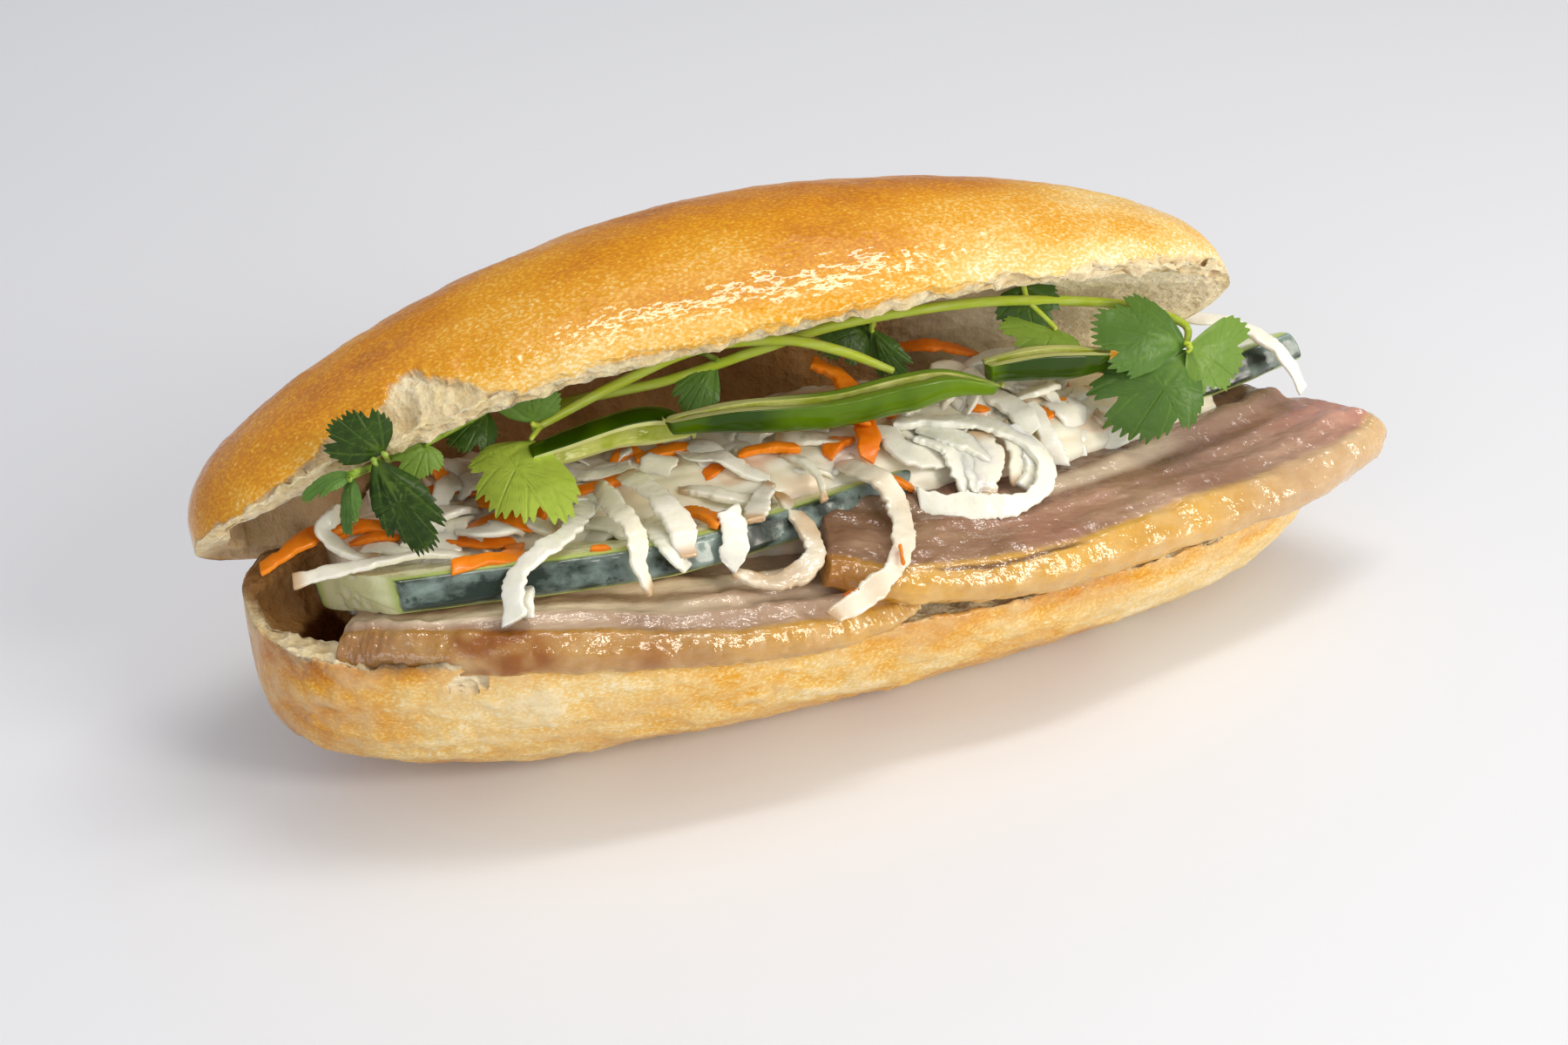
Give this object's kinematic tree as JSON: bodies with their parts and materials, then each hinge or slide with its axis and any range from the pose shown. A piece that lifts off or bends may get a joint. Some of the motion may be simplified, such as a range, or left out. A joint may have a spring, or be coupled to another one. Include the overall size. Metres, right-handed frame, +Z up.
{
  "type": "banh mi sandwich",
  "caption": "Crusty split roll opened like a book and filled with braised pork belly slices, cucumber, pickled daikon and carrot, chilli strips and coriander sprigs.",
  "frame": {"origin": "middle of the flat foot under the roll", "axes": "+X along the roll, -Y towards the open front, +Z up"},
  "size_m": [0.2629, 0.0984, 0.103],
  "materials": {
    "bread": "baked golden crust with a soft sheen, cream crumb inside",
    "cucumber": "wet dark green skin, pale flesh",
    "chilli": "glossy green skin",
    "coriander": "soft leaf green",
    "pork": "moist braised meat and fat",
    "pickle": "wet translucent white root with orange carrot"
  },
  "bodies": {
    "root": {"bread_roll": "bread", "cucumber_slice": "cucumber", "chilli_strip_left": "chilli", "chilli_strip_middle": "chilli", "chilli_strip_right": "chilli", "coriander_sprig_front": "coriander", "coriander_sprig_right": "coriander", "coriander_sprig_left": "coriander", "pork_slice_right": "pork", "pork_slice_left": "pork", "pickle_heap": "pickle"}
  },
  "joints": []
}
